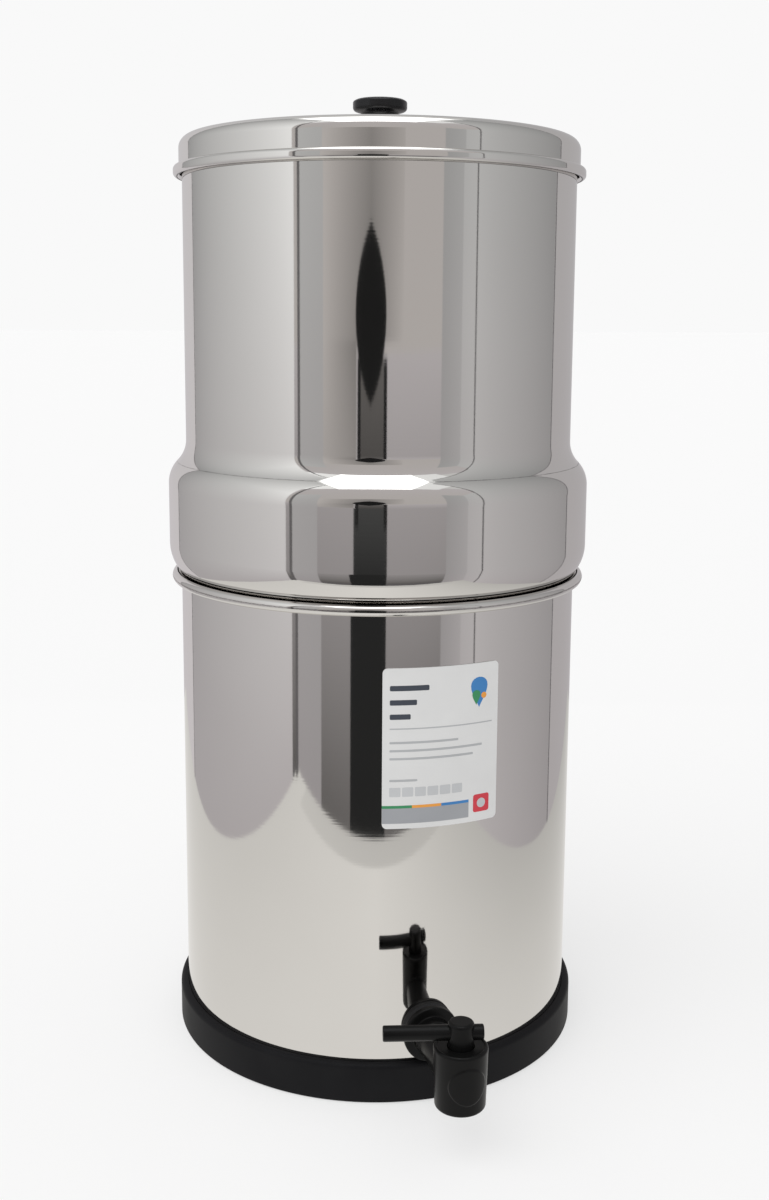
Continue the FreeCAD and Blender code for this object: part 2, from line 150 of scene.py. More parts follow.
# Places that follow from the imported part
lower_low, lower_high = box_mm("lower_chamber")
upper_low, upper_high = box_mm("upper_chamber")
lid_low, lid_high = box_mm("lid")
label_low, label_high = box_mm("front_label")
knob_low, knob_high = box_mm("lid_knob")
ring_high = box_mm("base_ring")[1]
LOWER_R = lower_high[0] - 2 * RIM_ROLL + SHEET
WALL_R = LOWER_R - WALL_INSET
BULGE_R = LOWER_R + BULGE_OVERHANG
LID_INNER_R = WALL_R + LID_CLEARANCE
TAP_Y = LOWER_R + TAP_REACH


# Mesh tools

ON_AXIS = 1e-6
NO_ROUNDING = 1e-6
STRAIGHT = 1e-4
SAME_POINT = 1e-4
WELD = 1e-5
CRISP_DEGREES = 35.0


def offset_path(points, distance):
    """The same path moved to its left; each point is (r, z, rounding)."""
    moved = []
    last = len(points) - 1
    for i, (r, z, rounding) in enumerate(points):
        normals = []
        for a, b in ((i - 1, i), (i, i + 1)):
            if a >= 0 and b <= last:
                run = Vector((points[b][0] - points[a][0], points[b][1] - points[a][1])).normalized()
                normals.append(Vector((-run.y, run.x)))
        first = normals[0]
        second = normals[-1]
        shift = (first + second) * (distance / (1 + first.dot(second)))
        turn = distance if first.x * second.y - first.y * second.x > 0 else -distance
        moved.append((r + shift.x, z + shift.y, max(rounding - turn, 0.0) if rounding else 0.0))
    return moved


def outline(points, steps=7, hold=0.35):
    """Rounds the corners of (r, z, rounding) points, with a flat step of length hold beside each arc."""
    count = len(points)
    result = []
    for i, (r, z, rounding) in enumerate(points):
        corner = Vector((r, z))
        before = Vector(points[i - 1][:2]) - corner
        after = Vector(points[(i + 1) % count][:2]) - corner
        half = before.angle(after) / 2
        if rounding < NO_ROUNDING or half > math.pi / 2 - STRAIGHT:
            result.append(corner)
            continue
        reach = rounding / math.tan(half)
        middle = (before.normalized() + after.normalized()).normalized()
        centre = corner + middle * (rounding / math.sin(half))
        start = corner + before.normalized() * reach
        end = corner + after.normalized() * reach
        room_before = before.length - reach
        room_after = after.length - reach
        if room_before > 3 * hold:
            result.append(start + before.normalized() * hold)
        spoke = start - centre
        sweep = spoke.angle_signed(end - centre)
        for k in range(steps + 1):
            angle = -sweep * k / steps
            result.append(centre + Matrix.Rotation(angle, 2) @ spoke)
        if room_after > 3 * hold:
            result.append(end + after.normalized() * hold)
    tidy = []
    for point in result:
        if not tidy or (point - tidy[-1]).length > SAME_POINT:
            tidy.append(point)
    return tidy


def to_object(name, bm, material):
    """Turns a bmesh in millimetres into a smooth-shaded object in metres."""
    bmesh.ops.remove_doubles(bm, verts=bm.verts, dist=WELD)
    bmesh.ops.recalc_face_normals(bm, faces=bm.faces)
    bmesh.ops.scale(bm, vec=(MM, MM, MM), verts=bm.verts)
    mesh = bpy.data.meshes.new(name)
    bm.to_mesh(mesh)
    bm.free()
    mesh.shade_smooth()
    mesh.set_sharp_from_angle(angle=math.radians(CRISP_DEGREES))
    obj = bpy.data.objects.new(name, mesh)
    bpy.context.scene.collection.objects.link(obj)
    mesh.materials.append(material)
    return obj


def spin(bm, profile, segments):
    """Adds a closed profile of (r, z) turned about the Z axis."""
    rings = []
    for k in range(segments):
        angle = 2 * math.pi * k / segments
        across = math.cos(angle)
        along = math.sin(angle)
        rings.append([bm.verts.new((r * across, r * along, z)) for r, z in profile])
    count = len(profile)
    for k in range(segments):
        here = rings[k]
        there = rings[(k + 1) % segments]
        for i in range(count):
            j = (i + 1) % count
            starts_on_axis = profile[i][0] < ON_AXIS
            ends_on_axis = profile[j][0] < ON_AXIS
            if starts_on_axis and ends_on_axis:
                continue
            if starts_on_axis:
                bm.faces.new((here[i], here[j], there[j]))
            elif ends_on_axis:
                bm.faces.new((here[i], here[j], there[i]))
            else:
                bm.faces.new((here[i], here[j], there[j], there[i]))


def turned(name, points, material, segments, steps):
    """A smooth body of revolution from rounded corner points."""
    bm = bmesh.new()
    spin(bm, outline(points, steps=steps), segments)
    return to_object(name, bm, material)


def along_tap():
    """Lays a body about Z along the tap's axis; its height becomes the distance from the chamber axis."""
    return Matrix.Translation((0, 0, TAP_Z)) @ Matrix.Rotation(math.radians(90), 4, "X")


# Material tools

LINES_PER_METRE = 900.0
SMEAR_SIZE = 9.0
LINE_DEPTH = 0.0001
GRAIN_SIZE = 2600.0
PATCH_SIZE = 45.0
GRAIN_DEPTH = 0.0002
TONES_FROM = 0.3
TONES_TO = 0.7


def new_material(name):
    material = bpy.data.materials.new(name)
    material.use_nodes = True
    tree = material.node_tree
    return material, tree.nodes, tree.links, tree.nodes["Principled BSDF"]


def new_group(name, inputs, outputs):
    """An empty shader group with float inputs and the named outputs."""
    group = bpy.data.node_groups.new(name, "ShaderNodeTree")
    for label, value in inputs:
        socket = group.interface.new_socket(label, in_out="INPUT", socket_type="NodeSocketFloat")
        socket.default_value = value
    for label in outputs:
        group.interface.new_socket(label, in_out="OUTPUT", socket_type="NodeSocketFloat")
    entry = group.nodes.new("NodeGroupInput")
    leave = group.nodes.new("NodeGroupOutput")
    return group, group.nodes, group.links, entry, leave


def spun_lines_group():
    """Fine rings left by spinning and polishing, with broad faint smears."""
    group, nodes, links, entry, leave = new_group(
        "spun lines", [("Lines per metre", LINES_PER_METRE), ("Smear size", SMEAR_SIZE)], ["Lines", "Smears"])
    place = nodes.new("ShaderNodeTexCoord")
    split = nodes.new("ShaderNodeSeparateXYZ")
    links.new(place.outputs["Object"], split.inputs[0])
    lines = nodes.new("ShaderNodeTexNoise")
    lines.noise_dimensions = "1D"
    lines.inputs["Detail"].default_value = 4.0
    links.new(split.outputs["Z"], lines.inputs["W"])
    links.new(entry.outputs["Lines per metre"], lines.inputs["Scale"])
    links.new(lines.outputs["Fac"], leave.inputs["Lines"])
    smears = nodes.new("ShaderNodeTexNoise")
    smears.inputs["Detail"].default_value = 3.0
    links.new(place.outputs["Object"], smears.inputs["Vector"])
    links.new(entry.outputs["Smear size"], smears.inputs["Scale"])
    links.new(smears.outputs["Fac"], leave.inputs["Smears"])
    return group


def moulded_grain_group():
    """The fine skin of moulded plastic or rubber, with slow changes of gloss."""
    group, nodes, links, entry, leave = new_group(
        "moulded grain", [("Grain size", GRAIN_SIZE), ("Patch size", PATCH_SIZE)], ["Grain", "Patches"])
    place = nodes.new("ShaderNodeTexCoord")
    for label, wanted, detail in (("Grain size", "Grain", 2.0), ("Patch size", "Patches", 3.0)):
        noise = nodes.new("ShaderNodeTexNoise")
        noise.inputs["Detail"].default_value = detail
        links.new(place.outputs["Object"], noise.inputs["Vector"])
        links.new(entry.outputs[label], noise.inputs["Scale"])
        links.new(noise.outputs["Fac"], leave.inputs[wanted])
    return group


SPUN_LINES = spun_lines_group()
MOULDED_GRAIN = moulded_grain_group()


def place_group(nodes, group, values):
    node = nodes.new("ShaderNodeGroup")
    node.node_tree = group
    for label, value in values.items():
        node.inputs[label].default_value = value
    return node


def spread(nodes, links, source, low, high):
    """Maps a 0 to 1 mask onto a range."""
    mapped = nodes.new("ShaderNodeMapRange")
    mapped.inputs["To Min"].default_value = low
    mapped.inputs["To Max"].default_value = high
    links.new(source, mapped.inputs["Value"])
    return mapped.outputs["Result"]


def bump(nodes, links, source, strength, distance):
    node = nodes.new("ShaderNodeBump")
    node.inputs["Strength"].default_value = strength
    node.inputs["Distance"].default_value = distance
    links.new(source, node.inputs["Height"])
    return node.outputs["Normal"]


def two_tones(nodes, links, source, first, second):
    """Maps the middle of a 0 to 1 mask onto a blend of two colours."""
    ramp = nodes.new("ShaderNodeValToRGB")
    ramp.color_ramp.elements[0].position = TONES_FROM
    ramp.color_ramp.elements[0].color = (*first, 1)
    ramp.color_ramp.elements[1].position = TONES_TO
    ramp.color_ramp.elements[1].color = (*second, 1)
    links.new(source, ramp.inputs["Fac"])
    return ramp.outputs["Color"]


def polished_steel():
    material, nodes, links, shader = new_material("polished_steel")
    marks = place_group(nodes, SPUN_LINES, {"Lines per metre": LINES_PER_METRE, "Smear size": SMEAR_SIZE})
    shader.inputs["Metallic"].default_value = 1.0
    colour = two_tones(nodes, links, marks.outputs["Smears"], (0.69, 0.675, 0.65), (0.715, 0.70, 0.675))
    links.new(colour, shader.inputs["Base Color"])
    links.new(spread(nodes, links, marks.outputs["Smears"], 0.03, 0.065), shader.inputs["Roughness"])
    links.new(bump(nodes, links, marks.outputs["Lines"], 0.03, LINE_DEPTH), shader.inputs["Normal"])
    return material


def moulded(name, dark, light, rough_low, rough_high, grain_strength, grain_size=GRAIN_SIZE, specular=0.5):
    """Plain moulded plastic, rubber or ceramic: two close tones, uneven gloss and a fine grain."""
    material, nodes, links, shader = new_material(name)
    grain = place_group(nodes, MOULDED_GRAIN, {"Grain size": grain_size, "Patch size": PATCH_SIZE})
    patches = grain.outputs["Patches"]
    links.new(two_tones(nodes, links, patches, dark, light), shader.inputs["Base Color"])
    links.new(spread(nodes, links, patches, rough_low, rough_high), shader.inputs["Roughness"])
    skin = bump(nodes, links, grain.outputs["Grain"], grain_strength, GRAIN_DEPTH)
    links.new(skin, shader.inputs["Normal"])
    shader.inputs["Specular IOR Level"].default_value = specular
    return material


STEEL = polished_steel()
BLACK = moulded("black_plastic", (0.004, 0.004, 0.004), (0.006, 0.006, 0.006), 0.26, 0.38, 0.1, specular=0.13)
KNOB_BLACK = moulded("knob_plastic", (0.006, 0.006, 0.007), (0.01, 0.01, 0.011), 0.2, 0.3, 0.05, specular=0.3)
RING_BLACK = moulded("base_rubber", (0.007, 0.007, 0.008), (0.01, 0.01, 0.011), 0.45, 0.6, 0.15,
                     specular=0.09)
SEAL = moulded("seal_rubber", (0.012, 0.012, 0.013), (0.018, 0.018, 0.019), 0.55, 0.7, 0.2, specular=0.2)
SILICONE = moulded("silicone_seal", (0.72, 0.70, 0.65), (0.78, 0.76, 0.71), 0.4, 0.5, 0.1)
CERAMIC = moulded("candle_ceramic", (0.80, 0.77, 0.70), (0.87, 0.84, 0.78), 0.75, 0.9, 0.35, 1400.0)
CARBON = moulded("carbon", (0.012, 0.012, 0.012), (0.03, 0.03, 0.03), 0.6, 0.8, 0.6, 900.0)
WHITE_PLASTIC = moulded("white_plastic", (0.77, 0.77, 0.75), (0.82, 0.82, 0.80), 0.35, 0.45, 0.06)
SCREW_STEEL = moulded("screw_steel", (0.5, 0.5, 0.5), (0.6, 0.6, 0.6), 0.25, 0.35, 0.05)
SCREW_STEEL.node_tree.nodes["Principled BSDF"].inputs["Metallic"].default_value = 1.0
VINYL = moulded("label_vinyl", (0.66, 0.66, 0.655), (0.69, 0.69, 0.685), 0.38, 0.46, 0.04)


# Steel shells

def lower_chamber():
    floor = lower_low[2] + SHEET
    top = lower_high[2]
    inner = LOWER_R - SHEET
    inside = [
        (0, floor, 0),
        (inner, floor, CORNER_ROUND - SHEET),
        (inner, top, RIM_ROLL),
        (inner + 2 * RIM_ROLL, top, RIM_ROLL),
        (inner + 2 * RIM_ROLL, top - 2 * RIM_ROLL, RIM_ROLL),
        (LOWER_R + SEAM, top - 2 * RIM_ROLL, 0),
    ]
    return turned("lower_shell", inside + offset_path(inside, -SHEET)[::-1], STEEL, SHELL_SEGMENTS, 10)


def upper_chamber():
    bottom = upper_low[2]
    top = upper_high[2]
    half = math.atan((BULGE_R - WALL_R) / SHOULDER_HEIGHT)
    rounding = SHOULDER_ARC_SHARE * SHOULDER_HEIGHT / (2 * math.sin(2 * half))
    tangent = rounding * math.tan(half) / SHOULDER_ARC_SHARE
    shoulder = bottom + BULGE_HEIGHT
    outside = [
        (0, bottom, 0),
        (BULGE_R, bottom, BULGE_CORNER),
        (BULGE_R, shoulder + tangent, rounding),
        (WALL_R, shoulder + SHOULDER_HEIGHT - tangent, rounding),
        (WALL_R, top - HEM_DEPTH, 0),
    ]
    inside = offset_path(outside, SHEET)
    hem = [
        (WALL_R, top, HEM_ROUND),
        (WALL_R - 2 * SHEET, top, HEM_ROUND),
        (WALL_R - 2 * SHEET, top - HEM_DEPTH, 0),
    ]
    return turned("upper_shell", outside[:-1] + hem + inside[::-1], STEEL, SHELL_SEGMENTS, 12)


def lid():
    bottom = lid_low[2]
    top = lid_high[2]
    outer = LID_INNER_R + 2 * LID_BEAD
    inside = [
        (0, top - SHEET, 0),
        (LID_INNER_R, top - SHEET, LID_ROUND - SHEET),
        (LID_INNER_R, bottom, LID_BEAD),
        (outer, bottom, LID_BEAD),
        (outer, bottom + LID_BEAD_HEIGHT, LID_BEAD),
        (LID_INNER_R + SHEET + SEAM, bottom + LID_BEAD_HEIGHT, 0),
    ]
    return turned("lid_shell", inside + offset_path(inside, SHEET)[::-1], STEEL, SHELL_SEGMENTS, 10)


def base_ring():
    outer = ring_high[0]
    inner = LOWER_R + RING_FIT
    lip = LOWER_R - RING_LIP
    step = lower_low[2]
    return turned("base_ring_moulded", [
        (lip, 0, RING_EDGE),
        (outer, 0, RING_FOOT_ROUND),
        (outer, ring_high[2], RING_TOP_ROUND),
        (inner, ring_high[2], RING_SEAT_EDGE),
        (inner, step, 0),
        (lip, step, RING_EDGE),
    ], RING_BLACK, SHELL_SEGMENTS, 8)


def knob():
    bottom = knob_low[2]
    top = knob_high[2]
    under = top - KNOB_DISC
    return turned("knob_moulded", [
        (0, bottom, 0),
        (KNOB_BASE_R, bottom, KNOB_BASE_EDGE),
        (KNOB_BASE_R, bottom + KNOB_BASE, KNOB_NECK_ROUND),
        (KNOB_NECK_R, bottom + KNOB_BASE + KNOB_NECK_TAPER, KNOB_NECK_ROUND),
        (KNOB_NECK_R, under - KNOB_FLARE, KNOB_FLARE_ROUND),
        (KNOB_DISC_R, under + KNOB_DISC_RISE, KNOB_DISC_LOW_ROUND),
        (KNOB_DISC_R, top - KNOB_CROWN, KNOB_DISC_HIGH_ROUND),
        (KNOB_CROWN_R, top, KNOB_CROWN_ROUND),
        (0, top, 0),
    ], KNOB_BLACK, KNOB_SEGMENTS, 8)


# Tap body: turned shapes joined into one moulding with soft inner corners

TAP_SEGMENTS = 96


def solid(name, points, matrix):
    """A turned solid moved by a matrix."""
    bm = bmesh.new()
    spin(bm, outline(points), TAP_SEGMENTS)
    bmesh.ops.transform(bm, matrix=matrix, verts=bm.verts)
    return to_object(name, bm, BLACK)


def combine(target, tool, operation):
    modifier = target.modifiers.new("combine", "BOOLEAN")
    modifier.operation = operation
    modifier.solver = "MANIFOLD"
    modifier.object = tool
    bake(target)
    bpy.data.objects.remove(tool)


def bake(obj):
    """Applies an object's modifiers to its mesh."""
    graph = bpy.context.evaluated_depsgraph_get()
    mesh = bpy.data.meshes.new_from_object(obj.evaluated_get(graph))
    obj.modifiers.clear()
    obj.data = mesh


def barrel_points(grow=0.0):
    return [
        (0, BARREL_FOOT, 0),
        (BARREL_FOOT_R + grow, BARREL_FOOT, BARREL_FOOT_ROUND),
        (BARREL_TOP_R + grow, BARREL_TOP, BARREL_TOP_ROUND),
        (0, BARREL_TOP, 0),
    ]


def tap_body():
    at_barrel = Matrix.Translation((0, -TAP_Y, 0))
    back = LOWER_R + WASHER
    front = back + FLANGE
    start = LOWER_R - SHEET - SHANK_INSIDE
    body = solid("tap_moulding", [
        (0, start, 0),
        (SHANK_R, start, MOULD_EDGE),
        (SHANK_R, back, 0),
        (FLANGE_R, back, 0),
        (FLANGE_R, front, MOULD_EDGE),
        (NECK_SHOULDER, front, NECK_CORNER),
        (NECK_SHOULDER, front + NECK_SHOULDER_LENGTH, NECK_SHOULDER_ROUND),
        (NECK_R, front + NECK_START, NECK_START_ROUND),
        (NECK_R, TAP_Y, 0),
        (0, TAP_Y, 0),
    ], along_tap())
    combine(body, solid("barrel", barrel_points(), at_barrel), "UNION")
    boss = solid("boss", barrel_points(BOSS_RAISED), at_barrel)
    past = TAP_Y + 2 * BARREL_TOP_R
    face = [(0, TAP_Y, 0), (BOSS_R, TAP_Y, 0), (BOSS_R, past, 0), (0, past, 0)]
    at_boss = Matrix.Translation((0, 0, BOSS_ABOVE)) @ along_tap()
    combine(boss, solid("boss_edge", face, at_boss), "INTERSECT")
    combine(body, boss, "UNION")
    below = BARREL_FOOT - CUT_PAST
    above = BARREL_TOP + CUT_PAST
    seat = BARREL_FOOT + OUTLET_DEPTH
    ledge = BARREL_TOP - RECESS_DEPTH
    hollow = [
        (0, below, 0),
        (OUTLET_R, below, 0),
        (OUTLET_R, seat, 0),
        (PLUG_BORE, seat, 0),
        (PLUG_BORE, ledge, 0),
        (RECESS_R, ledge, 0),
        (RECESS_R, above, 0),
        (0, above, 0),
    ]
    combine(body, solid("barrel_bore", hollow, at_barrel), "DIFFERENCE")
    mouth = start - CUT_PAST
    bore = [(0, mouth, 0), (SHANK_BORE, mouth, 0), (SHANK_BORE, TAP_Y, 0), (0, TAP_Y, 0)]
    combine(body, solid("shank_bore", bore, along_tap()), "DIFFERENCE")
    grid = body.modifiers.new("grid", "REMESH")
    grid.mode = "VOXEL"
    grid.voxel_size = VOXEL * MM
    soften = body.modifiers.new("soften", "SMOOTH")
    soften.factor = SOFTEN_SHARE
    soften.iterations = SOFTEN_ROUNDS
    bake(body)
    body.data.shade_smooth()
    return body


# Label: a curved vinyl patch with plain generic printing

LABEL_WIDTH = 59.6
LABEL_TURN = 3.0
LABEL_ROUND = 2.5
LABEL_THICK = 0.25
LABEL_GLUE = 0.18
STRIP_WIDTH = 1.0
SHARP_CORNERS = 100.0  # longer than any side, so that no flat step is added beside the arcs
PRINT_LIFT = 0.03
CURVE_STEPS = 28
label_bottom = label_low[2]
label_top = label_high[2]


def on_wall(x, z, radius):
    """A point of the label, x millimetres along the wall from its middle, at a height and a radius."""
    angle = math.radians(LABEL_TURN) + x / LOWER_R
    return (radius * math.sin(angle), -radius * math.cos(angle), z)


def rounded_rectangle(left, right, low, high, rounding):
    corners = [(x, z, rounding) for x, z in ((left, low), (right, low), (right, high), (left, high))]
    return outline(corners, steps=6, hold=SHARP_CORNERS)


def patch(bm, shape, radius, material_index):
    """Adds a flat shape bent round the wall, cut into narrow strips so that it follows the curve."""
    verts = [bm.verts.new((p.x, 0, p.y)) for p in shape]
    face = bm.faces.new(verts)
    face.material_index = material_index
    faces = [face]
    left = min(p.x for p in shape)
    right = max(p.x for p in shape)
    cuts = int((right - left) / STRIP_WIDTH)
    for k in range(1, cuts + 1):
        x = left + (right - left) * k / (cuts + 1)
        edges_and_corners = {e for f in faces for e in f.edges} | {v for f in faces for v in f.verts}
        members = list(edges_and_corners) + faces
        cut = bmesh.ops.bisect_plane(bm, geom=members, plane_co=(x, 0, 0), plane_no=(1, 0, 0))
        faces = [g for g in cut["geom"] if isinstance(g, bmesh.types.BMFace)]
    for vert in {v for f in faces for v in f.verts}:
        vert.co = on_wall(vert.co.x, vert.co.z, radius)
    return faces


def front_label():
    bm = bmesh.new()
    shape = rounded_rectangle(-LABEL_WIDTH / 2, LABEL_WIDTH / 2, label_bottom, label_top, LABEL_ROUND)
    faces = patch(bm, shape, LOWER_R + LABEL_GLUE, 0)
    raised = bmesh.ops.extrude_face_region(bm, geom=faces)
    outer = LOWER_R + LABEL_GLUE + LABEL_THICK
    for vert in (g for g in raised["geom"] if isinstance(g, bmesh.types.BMVert)):
        scale = outer / math.hypot(vert.co.x, vert.co.y)
        vert.co.x *= scale
        vert.co.y *= scale
    return to_object("label_sheet", bm, VINYL)


def drop_shape(x, z, size):
    """A water drop: round below, drawn up to a point."""
    shape = []
    for k in range(CURVE_STEPS):
        t = 2 * math.pi * k / CURVE_STEPS
        width = math.sin(t) * math.sin(t / 2) ** 1.5
        shape.append(Vector((x + size * width, z - size * 1.15 * math.cos(t))))
    return shape[::-1]


def disc_shape(x, z, radius):
    angles = [2 * math.pi * k / CURVE_STEPS for k in range(CURVE_STEPS)]
    return [Vector((x + radius * math.cos(t), z + radius * math.sin(t))) for t in angles]


def ink(name, colour):
    return moulded(name, tuple(c * 0.94 for c in colour), colour, 0.4, 0.5, 0.03)


INKS = [
    ink("ink_dark", (0.045, 0.055, 0.075)),
    ink("ink_grey", (0.42, 0.43, 0.44)),
    ink("ink_pale", (0.52, 0.53, 0.54)),
    ink("ink_footer", (0.33, 0.34, 0.36)),
    ink("ink_green", (0.03, 0.26, 0.10)),
    ink("ink_orange", (0.80, 0.32, 0.04)),
    ink("ink_blue", (0.03, 0.20, 0.50)),
    ink("ink_red", (0.62, 0.03, 0.05)),
]
DARK, GREY, PALE, FOOTER, GREEN, ORANGE, BLUE, RED = range(len(INKS))


# Places of the print: a drop, an up or a right is the distance from the label's top, foot or right edge
PRINT_MARGIN = 3.5
HEADING_LENGTHS = (19.0, 13.0, 10.0)
HEADING_DROP = 8.5
HEADING_PITCH = 7.0
HEADING_THICK = 2.6
HEADING_ROUND = 0.6
TEXT_LENGTHS = (34.0, 47.0, 42.0)
TEXT_DROP = 36.0
TEXT_PITCH = 4.0
TEXT_THICK = 1.1
TEXT_ROUND = 0.3
RULE_DROP = 30.0
RULE_THICK = 0.6
NOTE_LENGTH = 13.5
NOTE_UP = 23.5
BOX_COUNT = 6
BOX_PITCH = 6.2
BOX_WIDTH = 5.4
BOX_HEIGHT = 4.6
BOX_ROUND = 0.5
BOX_UP = 16.0
STRIPE_UP = 10.2
STRIPE_THICK = 1.4
FOOTER_UP = 2.6
FOOTER_RIGHT = 16.0
FOOTER_INSET = 0.05
BADGE_SIZE = 9.0
BADGE_INSET = 4.5
BADGE_ROUND = 1.2
BADGE_DOT_R = 2.4
MOTIF = (
    (drop_shape, 11.0, 14.5, 6.6, BLUE, 0.0),
    (drop_shape, 12.6, 17.0, 3.2, GREEN, PRINT_LIFT),
    (disc_shape, 8.4, 16.2, 1.5, ORANGE, PRINT_LIFT),
)


def label_print():
    """Plain bars, boxes, a water drop and a coloured stripe, all a hair above the vinyl."""
    bm = bmesh.new()
    radius = LOWER_R + LABEL_GLUE + LABEL_THICK + PRINT_LIFT
    left = -LABEL_WIDTH / 2
    right = LABEL_WIDTH / 2
    margin = left + PRINT_MARGIN

    def bar(x, z, length, height, colour, rounding=0.0):
        patch(bm, rounded_rectangle(x, x + length, z, z + height, rounding), radius, colour)

    for row, length in enumerate(HEADING_LENGTHS):
        z = label_top - HEADING_DROP - HEADING_PITCH * row - HEADING_THICK
        bar(margin, z, length, HEADING_THICK, DARK, HEADING_ROUND)
    for shape, from_right, drop, size, colour, lift in MOTIF:
        patch(bm, shape(right - from_right, label_top - drop, size), radius + lift, colour)
    bar(margin, label_top - RULE_DROP, LABEL_WIDTH - 2 * PRINT_MARGIN, RULE_THICK, GREY)
    for row, length in enumerate(TEXT_LENGTHS):
        z = label_top - TEXT_DROP - TEXT_PITCH * row - TEXT_THICK
        bar(margin, z, length, TEXT_THICK, GREY, TEXT_ROUND)
    bar(margin, label_bottom + NOTE_UP, NOTE_LENGTH, TEXT_THICK, GREY, TEXT_ROUND)
    for k in range(BOX_COUNT):
        bar(margin + BOX_PITCH * k, label_bottom + BOX_UP, BOX_WIDTH, BOX_HEIGHT, PALE, BOX_ROUND)
    third = (LABEL_WIDTH - FOOTER_RIGHT) / 3
    for k, colour in enumerate((GREEN, ORANGE, BLUE)):
        bar(left + third * k, label_bottom + STRIPE_UP, third, STRIPE_THICK, colour)
    footer = LABEL_WIDTH - FOOTER_RIGHT - FOOTER_INSET
    bar(left + FOOTER_INSET, label_bottom + FOOTER_UP, footer, STRIPE_UP - FOOTER_UP, FOOTER)
    badge = right - BADGE_INSET - BADGE_SIZE
    bar(badge, label_bottom + BADGE_INSET, BADGE_SIZE, BADGE_SIZE, RED, BADGE_ROUND)
    dot = disc_shape(badge + BADGE_SIZE / 2, label_bottom + BADGE_INSET + BADGE_SIZE / 2, BADGE_DOT_R)
    patch(bm, dot, radius + PRINT_LIFT, PALE)
    obj = to_object("label_print", bm, INKS[0])
    for extra in INKS[1:]:
        obj.data.materials.append(extra)
    return obj


# Put the pieces on their bodies

def dress(obj, body, slot, *nodes):
    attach(obj, body)
    if nodes:
        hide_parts(*nodes)


dress(lower_chamber(), "stand", "polished_steel", "lower_chamber")
dress(upper_chamber(), "upper", "polished_steel", "upper_chamber")
dress(lid(), "lid", "polished_steel", "lid")
dress(base_ring(), "stand", "base_rubber", "base_ring")
dress(knob(), "lid", "black_plastic", "lid_knob")
dress(tap_body(), "stand", "black_plastic", "tap_body")
dress(front_label(), "stand", "label_vinyl", "front_label")
dress(label_print(), "stand", "label_vinyl")

NODE_FINISH = {
    "tap_outer_washer": SEAL,
    "tap_inner_washer": SEAL,
    "tap_lock_nut": BLACK,
    "plug_retaining_ring": BLACK,
    "tap_plug": BLACK,
    "plug_o_rings": SEAL,
    "lever_rod": BLACK,
    "knob_washer": SCREW_STEEL,
    "knob_screw": SCREW_STEEL,
}
for number in (1, 2):
    NODE_FINISH["candle_%d_ceramic" % number] = CERAMIC
    NODE_FINISH["candle_%d_carbon_core" % number] = CARBON
    NODE_FINISH["candle_%d_base" % number] = WHITE_PLASTIC
    NODE_FINISH["candle_%d_washer" % number] = SILICONE
    NODE_FINISH["candle_%d_wing_nut" % number] = WHITE_PLASTIC
for node, finish in NODE_FINISH.items():
    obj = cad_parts[node]
    for slot in obj.material_slots:
        slot.material = finish


# Studio: a square tent that only reflections see, round a plain pale floor

TENT_LEFT = 395.0
TENT_RIGHT = 380.0
FRONT = 455.0
TENT_BACK = 620.0
PANEL_TOP = 560.0
TENT_TOP = 1500.0
ROOM = 760.0
FIGURE_STEPS = 32
STEEL_REFLECTS = 0.69
SIDE_SPLIT_LEFT = 260
SIDE_SPLIT_RIGHT = 120
LEFT_END = -410
RIGHT_END = -300
CORNER_X = 440
LEG_WIDTH = 22
LEG_FOOT = 190
HIP = 345
WAIST = 215
SHADE_TOP = 360
HEAD_ACROSS = -50
HEAD_HEIGHT = 385
HEAD_HALF_WIDTH = 105
HEAD_HALF_HEIGHT = 82
HEAD_POINTEDNESS = 0.7
FLOOR_CARD_DEPTH = -0.2
FLOOR_EDGE_DEPTH = -0.1
SOFTBOX_HEIGHT = 1250
GLOW_HEIGHT = 1320
FLOOR_COLOUR = 0.36
FLOOR_GLOW = 0.568
FLOOR_SIZE = 30.0  # metres
FLOOR_DROP = 0.0004  # metres
WORLD_STRENGTH = 0.75
WORLD_SHOWN = 0.947
WORLD_MIRRORED = 0.7
SUN_DEGREES = 60
SUN_STRENGTH = 1.16
SUN_FROM = (-500, -500, 1000)


def seen_from_camera(x, y, z):
    """A point given as right, back and up from the camera's side, in the part's frame and in metres."""
    turn = Matrix.Rotation(math.radians(-TAP_AZIMUTH), 3, "Z")
    return turn @ Vector((x * MM, y * MM, z * MM))


def seen_as(shade, tint):
    """The light of a card that the steel's reflection shows as this grey of 0 to 255."""
    light = ((shade / 255 + 0.055) / 1.055) ** 2.4  # the usual curve from screen grey to light
    return [light / STEEL_REFLECTS * part for part in tint] + [1.0]


def blended_light(name, colours):
    """A light whose colour blends between a card's four corners."""
    material = bpy.data.materials.new(name)
    material.use_nodes = True
    nodes = material.node_tree.nodes
    links = material.node_tree.links
    nodes.clear()
    place = nodes.new("ShaderNodeTexCoord")
    split = nodes.new("ShaderNodeSeparateXYZ")
    light = nodes.new("ShaderNodeEmission")
    out = nodes.new("ShaderNodeOutputMaterial")
    links.new(place.outputs["UV"], split.inputs[0])
    start_low, end_low, end_high, start_high = colours
    low = blend(nodes, links, split.outputs["X"], start_low, end_low)
    high = blend(nodes, links, split.outputs["X"], start_high, end_high)
    both = nodes.new("ShaderNodeMix")
    both.data_type = "RGBA"
    links.new(split.outputs["Y"], both.inputs["Factor"])
    links.new(low, both.inputs["A"])
    links.new(high, both.inputs["B"])
    links.new(both.outputs["Result"], light.inputs["Color"])
    links.new(light.outputs[0], out.inputs["Surface"])
    return material


def blend(nodes, links, factor, first, second):
    mix = nodes.new("ShaderNodeMix")
    mix.data_type = "RGBA"
    mix.inputs["A"].default_value = first
    mix.inputs["B"].default_value = second
    links.new(factor, mix.inputs["Factor"])
    return mix.outputs["Result"]


